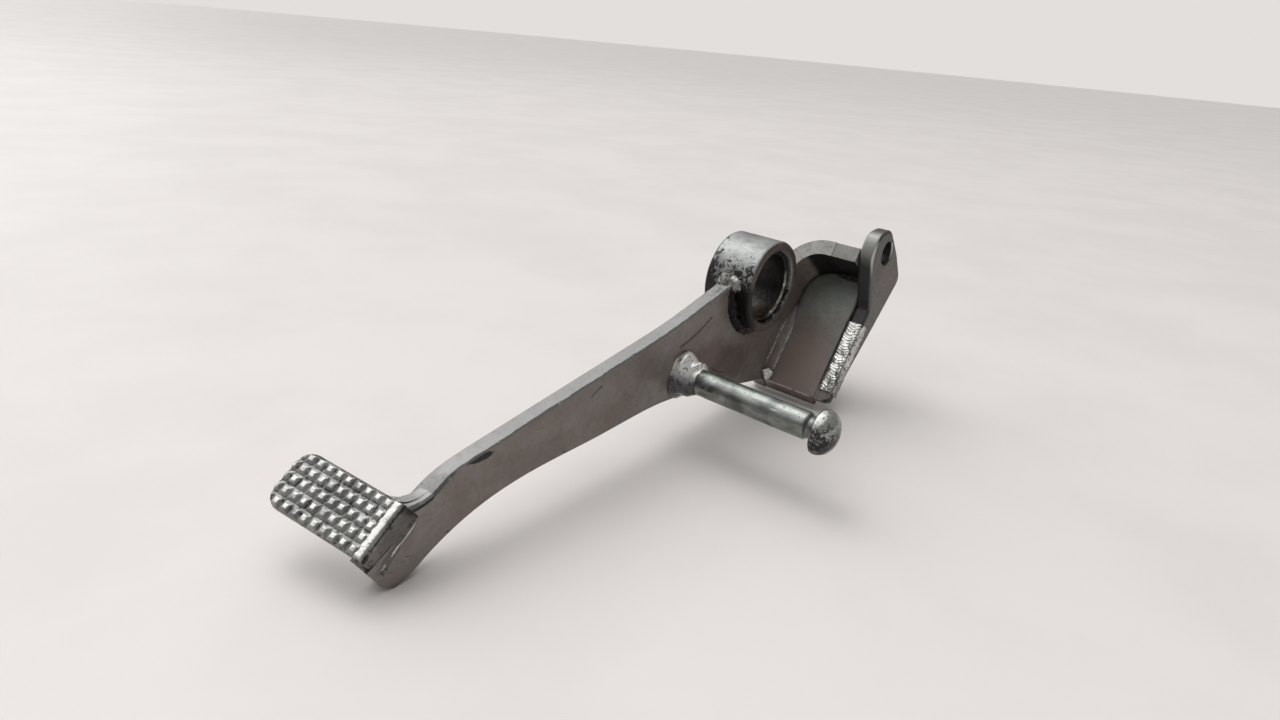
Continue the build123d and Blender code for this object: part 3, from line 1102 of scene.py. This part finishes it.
boss_outside = [(BOSS_R - 1.0, boss_end), (BOSS_R - 0.35, boss_end - 0.25), (BOSS_R, boss_end - 0.9)]
boss_inside = [(13.3, -boss_end), (12.8, -boss_end + 0.35), (12.6, -boss_end + 1.0)]
boss = lathe(
    "boss", there_and_back(boss_outside) + there_and_back(boss_inside), ORIGIN, boss_look,
    192, boss_uneven,
)
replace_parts(boss, "pivot_boss")
liner_profile = there_and_back([
    (12.55, liner_end - 0.2), (12.35, liner_end), (11.7, liner_end), (11.25, liner_end - 0.15),
    (BORE_R, liner_end - 0.6),
])
liner = lathe("bush", liner_profile, ORIGIN, liner_shade_look, 160, liner_uneven)
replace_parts(liner, "pivot_bush")


def boss_bead(name, y, toward, seed):
    """Weld round the boss where it sits in the plate's notch."""
    path, out = [], []
    start, sweep = math.radians(20), math.radians(-168)
    for i in range(300):
        a = start + sweep * i / 299
        d = arm(math.cos(a), 0, math.sin(a))
        path.append(d * (BOSS_R + 0.4) + Vector((0, y, 0)))
        out.append(d * 0.75 + Vector((0, toward, 0)))
    return bead(
        name, path, out, boss_weld_look, width=2.4, height=1.9, ripple=0.06, pitch=1.8,
        rough=0.28, seed=seed,
    )


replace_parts(boss_bead("boss_bead_front", FACE_Y, 1, 3.1), "boss_weld_front")
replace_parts(boss_bead("boss_bead_rear", BACK_Y, -1, 8.4), "boss_weld_rear")
crown_at = math.radians(25)
crown_spot = arm(math.cos(crown_at), 0, math.sin(crown_at)) * (BOSS_R - 0.2)
crown_path = [
    crown_spot + Vector((0, y, 0)) - arm(0, 0, lower)
    for y, lower in ((6.0, 1.6), (4.0, 0.4), (0.6, 0.0), (-1.8, 0.1), (-4.2, 1.0))
]
bead(
    "boss_bead_top", smooth_path(crown_path, 24), arm(0.8, 0, 0.8), crown_look,
    width=3.9, height=0.85, ripple=0.04, pitch=2.0, rough=0.3, seed=1.3,
)

# -------------------------------------------------------------- spring peg
low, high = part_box("spring_peg")
peg_x = (low.x + high.x) / 2 / MM
peg_z = (low.z + high.z) / 2 / MM
head_r = (high.x - low.x) / 2 / MM
tip = high.y / MM


def peg_uneven(r, y, a):
    """Slightly wavy surface with small pits, rougher on the head."""
    at = Vector((math.cos(a) * r, y * 0.4, math.sin(a) * r))
    pits = max(0.0, noise.noise(at * 0.9 + Vector((4, 9, 2))) - 0.45)
    rough = 0.10 if y > HEAD_START else 0.05
    return rough * (noise.noise(at * 0.6) - 0.3) - 0.7 * pits * (r > 2)


dome = [
    (head_r * math.cos(t), HEAD_START + 1.0 + (tip - HEAD_START - 1.0) * math.sin(t) ** 0.92)
    for t in [math.radians(k * 90 / 14) for k in range(15)]
]
peg = lathe(
    "peg",
    [(0.001, BACK_Y + 0.2), (PEG_R, BACK_Y + 0.2), (PEG_R, BODY_END - 0.5),
     (PEG_R - 0.25, BODY_END - 0.1), (NECK_R + 0.5, BODY_END), (NECK_R, BODY_END + 0.5),
     (NECK_R, HEAD_START - 0.6), (NECK_R + 0.5, HEAD_START - 0.1),
     (head_r - 0.8, HEAD_START + 0.1), (head_r - 0.15, HEAD_START + 0.45)]
    + dome[:-1] + [(0.001, tip)],
    Vector((peg_x, 0, peg_z)), peg_look, 96, peg_uneven,
)
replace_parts(peg, "spring_peg")


def collar_uneven(r, y, a):
    """Melted lobes: a belly on the pad's side of the collar and a crest above it."""
    at = Vector((math.cos(a) * r, y, math.sin(a) * r))
    foot = y - FACE_Y
    shift = 0.9 * math.sin(a * 2 + 0.7)
    belly = max(0.0, math.cos(a - math.radians(70))) ** 2
    belly *= math.exp(-(((foot - 2.4 - shift) / 1.7) ** 2))
    crest = max(0.0, math.cos(a - math.radians(118))) ** 2
    crest *= math.exp(-(((foot - 5.2 + shift) / 1.0) ** 2))
    swell = 1.1 * noise.noise(at * 0.2 + Vector((1.5, 0, 6))) + 0.3 * noise.noise(at * 0.55)
    return (swell + 1.3 * belly + 1.2 * crest - 0.3) * soft_step(PEG_R - 0.6, PEG_R + 1.2, r)


collar_skin = smooth_profile([
    (r, FACE_Y + up)
    for r, up in ((8.4, -0.3), (7.9, 0.8), (7.2, 2.2), (6.5, 3.6), (5.9, 4.9), (5.3, 6.0),
                  (4.8, 6.8), (4.45, 7.4))
])
collar = lathe(
    "peg_collar",
    [(PEG_R - 1.0, FACE_Y - 0.8), (8.6, FACE_Y - 0.8)] + collar_skin + [(PEG_R - 1.0, FACE_Y + 7.4)],
    Vector((peg_x, 0, peg_z)), collar_look, 128, collar_uneven,
)
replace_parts(collar, "peg_weld")

# ----------------------------------------------------------- bracket welds


def corner_bead():
    """Hollow fillet weld between the arm and the web, its two toes proud and ragged."""
    count, around = 180, 26
    start = web(-6, FACE_Y, WEB_TOP)
    step = web(30.0 / (count - 1), 0, 0)
    up, out = web(0, 0, 1), Vector((0, 1, 0))
    leg_up, leg_out = 4.6, 2.6
    verts = []
    for i in range(count):
        p = start + step * i
        s = i / (count - 1)
        taper = soft_step(0, 0.35, s) * soft_step(1.02, 0.86, s)
        for j in range(around):
            v = j / (around - 1)
            a = math.pi / 2 * v
            key = p * 0.5 + Vector((v * 3, 5.0, 0))
            toe = sum(math.exp(-(((v - middle) / 0.09) ** 2)) for middle in (0.08, 0.92))
            toe *= 0.10 * (0.75 + 0.9 * noise.noise(key * 1.6))
            phase = (i * step.length + 1.2 * math.sin(a * 2)) / 1.3
            wave = 0.5 + 0.5 * math.sin(2 * math.pi * phase)
            lift = 0.05 + toe + 0.12 * noise.noise(key) + 0.05 * wave
            u_up = leg_up * (1 - math.sin(a)) + 0.02 + lift * math.sin(a)
            u_out = leg_out * (1 - math.cos(a)) + 0.02 + lift * math.cos(a)
            verts.append(p + (up * u_up + out * u_out) * (0.15 + 0.85 * taper))
        verts.append(p - up * 0.5 - out * 0.5)
    faces = capped_tube(count, around + 1)
    return mesh_object("web_bead", verts, faces, toe_look, sharp=80)


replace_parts(corner_bead(), "web_weld")


def weld_drop(name, centre, size, material):
    """An uneven round drop of weld."""
    rows, columns = 26, 40
    verts = []
    for i in range(rows):
        tilt = math.pi * (i + 0.5) / rows
        for j in range(columns):
            a = 2 * math.pi * j / columns
            d = Vector((math.sin(tilt) * math.cos(a), math.cos(tilt), math.sin(tilt) * math.sin(a)))
            lump = 1 + 0.55 * noise.noise(d * 1.3 + centre * 0.7) + 0.15 * noise.noise(d * 4)
            verts.append(centre + d * (size * lump))
    faces = grid_faces(rows, columns, wrap_columns=True)
    faces.append(tuple(range(columns)))
    faces.append(tuple(range((rows - 1) * columns, rows * columns))[::-1])
    return mesh_object(name, verts, faces, material, sharp=80)


weld_drop("web_bead_end", web(23.1, FACE_Y + 1.5, WEB_TOP + 2.0), 1.9, blob_look)
wall_line = [web(-22.3, 13.5 + 11 * i / 59, WEB_TOP + 0.6) for i in range(60)]
wall_bead = bead(
    "wall_bead", wall_line, web(0.7, 0, 0.7), shadow_paint,
    width=1.3, height=0.9, ripple=0.1, pitch=1.3, rough=0.25, seed=9.0,
)
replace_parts(wall_bead, "wall_weld")


def ripple_strip():
    """Flat run of bright ripples laid along the ear's sloping edge."""
    rows, columns = 420, 60
    start, end = -6.6, 22.0
    inner, outer = EAR_Y - 0.15, EAR_OUT + 0.9
    verts, under = [], []
    for i in range(rows):
        s = i / (rows - 1)
        t = start + (end - start) * s
        for j in range(columns):
            v = j / (columns - 1)
            y = inner + (outer - inner) * v
            y += 0.25 * noise.noise(Vector((t * 0.35, v * 2, 3.0))) * abs(2 * v - 1)
            crown = 1 - abs(2 * v - 1) ** 6
            bow = 1.9 * (2 * v - 1) ** 2
            phase = (t + bow + 0.5 * noise.noise(Vector((t * 0.4, v * 1.5, 0)))) / 1.15
            wave = (phase % 1.0) ** 1.6
            h = -1.3 + 1.8 * crown + 0.2 * wave * crown + 0.15 * (v - 0.5)
            h += 0.25 * noise.noise(Vector((t * 0.35, y * 0.4, 7)))
            h += 0.05 * noise.noise(Vector((t * 1.3, y * 1.3, 2)))
            ends = soft_step(0, 0.02, s) * soft_step(1, 0.98, s)
            h = h * ends - 1.6 * (1 - ends)
            if v > 0.93:
                h -= 3.0 * ((v - 0.93) / 0.07) ** 1.6
            verts.append(web(t, y, WEB_TOP + h))
            under.append(web(t, inner + (outer - 0.4 - inner) * v, WEB_TOP - 4.4))
    faces = slab_faces(rows, columns)
    return mesh_object("ear_bead", verts + under, faces, bright_look, sharp=75)


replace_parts(ripple_strip(), "ear_weld")


def bracket_toe():
    """The web's rounded front corner, carried round under the foot of the ear."""
    start, inner, corner = 19.5, EAR_Y - 1.5, 3.15
    outline = [(start, inner), (WEB_END - 0.05, inner)]
    for k in range(13):
        a = math.pi / 2 * k / 12
        outline.append((WEB_END - 3.2 + corner * math.cos(a), EAR_OUT - 3.4 + corner * math.sin(a)))
    outline.append((start, EAR_OUT - 0.25))
    mid_t, mid_y = 21.5, EAR_OUT - 3.5
    levels = ((-0.5, 0.30), (-0.7, 0.10), (-1.1, 0.0), (-4.8, 0.0), (-5.2, 0.10), (-5.35, 0.3))
    verts = []
    for z, inset in levels:
        for t, y in outline:
            d = Vector((mid_t - t, mid_y - y)).normalized() * inset
            verts.append(web(t + d.x, y + d.y, WEB_TOP + z))
    faces = capped_tube(len(levels), len(outline))
    return mesh_object("bracket_toe", verts, faces, web_paint, sharp=70)


bracket_toe()

# ---------------------------------------------------------------- foot pad
def pad_outline(x, y, inset=0.0):
    """Pulls a point of the pad's rectangle in to its rounded outline."""
    hx, hy, r = PAD_LENGTH / 2 - inset, PAD_WIDTH / 2 - inset, 4.4
    x, y = x * hx, y * hy
    if x < -hx + r:
        cy = math.copysign(hy - r, y)
        if abs(y) > hy - r:
            dx, dy = x - (-hx + r), y - cy
            big = max(abs(dx), abs(dy))
            d = math.hypot(dx, dy)
            if d > 1e-9:
                x, y = (-hx + r) + dx * big / d, cy + dy * big / d
    return x, y


def stud_height(x, y):
    """Height of the tread: blunted pyramids in a square lattice and a smooth lip."""
    u, v = (x + 0.1) / PITCH, y / PITCH
    i, j = round(u), round(v)
    h = 0.0
    # nine columns of five studs; the lip takes the rest of the pad
    if i <= 4 and -2 <= j <= 2:
        du, dv = u - i, v - j
        key = Vector((i * 3.1, j * 5.7, 1.0))
        size = 0.95 + 0.1 * noise.noise(key)
        d = ((2 * abs(du)) ** 8 + (2 * abs(dv)) ** 8) ** (1 / 8)
        top = 0.66 + 0.10 * noise.noise(key * 1.7)
        top += 0.6 * (du * noise.noise(key * 2.3) + dv * noise.noise(key * 2.9))
        side = 1.02 * max(0.0, 1.0 - d / 0.98)
        blend = 0.07
        share = min(max(0.5 + 0.5 * (top - side) / blend, 0.0), 1.0)
        h = 1.3 * size * (top * (1 - share) + side * share - blend * share * (1 - share))
    ragged = 0.5 * noise.noise(Vector((x * 0.3, y * 0.8, 2)))
    lip = soft_step(PAD_LENGTH / 2 - 3.2 + ragged, PAD_LENGTH / 2 - 2.3 + ragged, x)
    lip *= 1 - 0.5 * soft_step(PAD_LENGTH / 2 - 0.6, PAD_LENGTH / 2, x)
    wear = 0.08 * noise.noise(Vector((x * 0.6, y * 0.6, 4)))
    wear += 0.05 * noise.noise(Vector((x * 2.1, y * 2.1, 9)))
    return STUD * max(h, 0.9 * lip) + wear * (0.4 + 0.6 * min(1, h + lip))


def tread_piece():
    """The studded sheet and its turned-down rim, deeper at the pad's inner end."""
    nx, ny = 300, 150
    verts = []
    for i in range(nx):
        for j in range(ny):
            u, v = 2 * i / (nx - 1) - 1, 2 * j / (ny - 1) - 1
            x, y = pad_outline(u, v, 0.03)
            edge = 1 - max(abs(u) ** 44, abs(v) ** 34)
            h = -STUD + stud_height(x, y) * edge - 0.8 * (1 - edge)
            verts.append(on_pad(x, y, min(h, -0.02)))
    faces = grid_faces(nx, ny)
    last = rim = rim_of(nx, ny)
    for depth, inset in ((1.42, 0.03), (1.92, 0.25), (2.12, 0.7)):
        ring = []
        for k in rim:
            i, j = divmod(k, ny)
            x, y = pad_outline(2 * i / (nx - 1) - 1, 2 * j / (ny - 1) - 1, inset)
            skirt = 2.6 * soft_step(PAD_LENGTH / 2 - 1.2, PAD_LENGTH / 2 - 0.8, x)
            ring.append(len(verts))
            verts.append(on_pad(x, y, -STUD - depth - skirt * depth / 2.12))
        for a, b, c, d in zip(last, last[1:] + last[:1], ring[1:] + ring[:1], ring):
            faces.append((a, b, c, d))
        last = ring
    faces.append(tuple(last))
    return mesh_object("tread", verts, faces, tread_look, sharp=60)


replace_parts(tread_piece(), "pad_tread")


arm_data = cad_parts["arm_plate"].data
arm_solid = BVHTree.FromPolygons(
    [v.co.copy() for v in arm_data.vertices], [tuple(f.vertices) for f in arm_data.polygons]
)


def gap_to_arm(x, y, z, direction):
    """Distance to the arm plate from a point in the pad's frame, or None."""
    hit = arm_solid.ray_cast(on_pad(x, y, z) * MM, direction)
    return hit[3] / MM if hit[0] else None


def arm_face_at(y, z):
    """Where the arm's front face lies along the pad, or None past its rim."""
    gap = gap_to_arm(30, y, z, -pad_x)
    return None if gap is None else 30 - gap


def arm_rear_at(y, z):
    """Where the arm's rear face lies along the pad."""
    gap = gap_to_arm(-10, y, z, pad_x)
    return 12.2 if gap is None else gap - 10


def arm_top_below(x, y):
    """Height of the arm's upper edge under a point of the pad's plane."""
    gap = gap_to_arm(x, y, 8, -pad_z)
    return -5.0 if gap is None else 8 - gap


def pad_wall():
    """Weld that covers the pad's inner end and runs down the arm's front face."""
    rows, columns = 170, 80
    verts, back = [], []
    for i in range(rows):
        s = i / (rows - 1)
        y = PAD_WIDTH / 2 - 0.05 - (PAD_WIDTH + 0.3) * s
        low = 6.3 + 4.4 * s + 0.7 * noise.noise(Vector((y * 0.35, 4, 1)))
        while low > 5.6 and arm_face_at(y, -low) is None:
            low -= 0.1
        ends = min(soft_step(-0.02, 0.16, s), soft_step(1, 0.97, s))
        for j in range(columns):
            v = j / (columns - 1)
            z = -1.2 - (low - 1.2) * v
            face = arm_face_at(y, min(z, -6.4)) or 16.9 + 0.1 * y
            x = PAD_LENGTH / 2 - 0.1 + (face + 0.15 - PAD_LENGTH / 2) * soft_step(0, 0.7, v)
            key = Vector((y * 0.5, z * 0.9, 2.0))
            ridge = math.exp(-(((v - 0.62 - 0.05 * noise.noise(key)) / 0.09) ** 2))
            x += 0.38 * ridge * (0.75 + 0.5 * noise.noise(key * 1.3))
            x += 0.22 * noise.noise(key * 0.6) + 0.10 * noise.noise(key * 2.2)
            x -= 0.45 * soft_step(0.75, 1.0, v) + 1.3 * (1 - ends)
            verts.append(on_pad(min(x, 18.3), y, z))
            back.append(on_pad(13.4, y, z if z > -5.0 else max(z, -low + 0.6)))
    faces = slab_faces(rows, columns)
    return mesh_object("pad_bead_front", verts + back, faces, pad_weld_look, sharp=70)


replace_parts(pad_wall(), "pad_weld_front")
rear_path = [
    arm(142.8 + 14.8 * i / 139, BACK_Y + 0.3, 0.7 - (BACK_Y + 0.3) / 4 - 5.5 * i / 139)
    for i in range(140)
]
rear_bead = bead(
    "pad_bead_rear", rear_path, arm(0.15, -1, -0.1), weld_look,
    width=2.4, height=1.9, ripple=0.16, pitch=1.5, rough=0.28, seed=6.0,
)
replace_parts(rear_bead, "pad_weld_rear")

CORNER_X = 11.5  # the arm's rear face, along the pad
CORNER_LEG = 4.0  # reach of the weld's hollow side
RAMP = 6.8  # length of the weld up the arm


def corner_piece():
    """Smooth weld that flows from the arm's upper edge into the pad's long edge."""
    rows, columns = 44, 44
    verts = []
    foot_levels = []
    for j in range(columns):
        under = CORNER_X - CORNER_LEG + (PLATE + CORNER_LEG) * j / (columns - 1)
        under = min(max(under, CORNER_X + 0.5), CORNER_X + PLATE - 0.5)
        foot_levels.append(arm_top_below(under, PAD_WIDTH / 2))
    for i in range(rows):
        q = -0.3 + (RAMP + 0.3) * i / (rows - 1)
        rise = max(0.0, CORNER_LEG - max(q, 0.0))
        level = arm_top_below(CORNER_X + 2.8, PAD_WIDTH / 2 + q) - 1.2
        rear_face = arm_rear_at(PAD_WIDTH / 2 + q, level) + 0.1
        near = rear_face - CORNER_LEG + math.sqrt(max(CORNER_LEG**2 - rise**2, 0.0))
        far = (arm_face_at(PAD_WIDTH / 2 + q, level) or 17.6) - 0.12
        for j in range(columns):
            v = j / (columns - 1)
            x = near + (far - near) * v
            fade = max(0.0, 1 - max(q, 0.0) / RAMP)
            under = min(max(x, CORNER_X + 0.5), CORNER_X + PLATE - 0.5)
            ground = arm_top_below(under, PAD_WIDTH / 2 + q)
            z = ground - 0.1 + (-1.5 - foot_levels[j]) * fade**1.6
            for edge in (v / 0.12, (1 - v) / 0.12):
                if edge < 1:
                    z -= 0.55 * (1 - edge) ** 2
            z += 0.12 * (noise.noise(Vector((x * 0.4, q * 0.4, 1.0))) - 0.5)
            verts.append(on_pad(x, PAD_WIDTH / 2 + q, z))
    under = [p - pad_z * max((p - pad_at).dot(pad_z) + 5.3, 0.1) for p in verts]
    faces = slab_faces(rows, columns)
    return mesh_object("pad_corner", verts + under, faces, arm_paint, sharp=60)


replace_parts(corner_piece(), "pad_weld_corner")

# ------------------------------------------------------- floor, light, view
floor_data = bpy.data.meshes.new("floor")
floor_radius, floor_sides = 9, 96
turns = [2 * math.pi * k / floor_sides for k in range(floor_sides)]
ring = [
    (floor_radius * math.cos(a), floor_radius * math.sin(a), cad_box[0][2]) for a in turns
]
floor_data.from_pydata(ring, [], [tuple(range(floor_sides))])
floor = bpy.data.objects.new("floor", floor_data)
bpy.context.scene.collection.objects.link(floor)
floor_data.materials.append(plain_floor())


lamp_data = bpy.data.lights.new("overhead", "AREA")
lamp_data.shape = "DISK"
lamp_data.size = 1.2
lamp_data.energy = 9
lamp = bpy.data.objects.new("overhead", lamp_data)
lamp.location = (-0.1, -0.9, 1.9)
aim = Vector((0.05, 0, 0)) - lamp.location
lamp.rotation_euler = aim.to_track_quat("-Z", "Y").to_euler()
bpy.context.scene.collection.objects.link(lamp)

world = bpy.data.worlds.new("studio")
bpy.context.scene.world = world
world.use_nodes = True
tree = world.node_tree
tree.nodes.clear()
world_out = tree.nodes.new("ShaderNodeOutputWorld")
seen = tree.nodes.new("ShaderNodeBackground")
seen.inputs["Color"].default_value = lin(227, 223, 220)
sky = tree.nodes.new("ShaderNodeBackground")
direction = tree.nodes.new("ShaderNodeTexCoord")


def sky_patch(toward, *levels):
    """Light that grows towards a direction: two cosines, then two strengths."""
    cosine = tree.nodes.new("ShaderNodeVectorMath")
    cosine.operation = "DOT_PRODUCT"
    cosine.inputs[1].default_value = Vector(toward).normalized()
    tree.links.new(direction.outputs["Generated"], cosine.inputs[0])
    strength = tree.nodes.new("ShaderNodeMapRange")
    strength.interpolation_type = "SMOOTHSTEP"
    for socket, number in zip(strength.inputs[1:5], levels):
        socket.default_value = number
    tree.links.new(cosine.outputs["Value"], strength.inputs[0])
    return strength.outputs[0]


# a soft box overhead and a window behind the lever, in a dimmer pale room
whole = tree.nodes.new("ShaderNodeMath")
tree.links.new(sky_patch((0.0, -0.36, 0.93), 0.55, 0.9, 0.26, 2.0), whole.inputs[0])
tree.links.new(sky_patch((0.15, -0.93, 0.30), 0.80, 0.96, 0.0, 1.3), whole.inputs[1])
tree.links.new(whole.outputs[0], sky.inputs["Strength"])
path_node = tree.nodes.new("ShaderNodeLightPath")
either = tree.nodes.new("ShaderNodeMixShader")
tree.links.new(path_node.outputs["Is Camera Ray"], either.inputs[0])
tree.links.new(sky.outputs[0], either.inputs[1])
tree.links.new(seen.outputs[0], either.inputs[2])
tree.links.new(either.outputs[0], world_out.inputs[0])

camera_data = bpy.data.cameras.new("camera")
camera_data.sensor_width = 36
camera_data.lens = 21.37
camera_data.clip_start = 0.01
camera_data.clip_end = 50
camera = bpy.data.objects.new("camera", camera_data)
bpy.context.scene.collection.objects.link(camera)
right = Vector((-0.6386, 0.765, 0.0851))
up = Vector((-0.2523, -0.313, 0.9155))
back = Vector((0.7274, 0.563, 0.3930))
spin = Matrix((right, up, back)).transposed().to_4x4()
camera.matrix_world = Matrix.Translation((0.22543, 0.12875, 0.07603)) @ spin
bpy.context.scene.camera = camera
bpy.context.scene.view_settings.view_transform = "Standard"
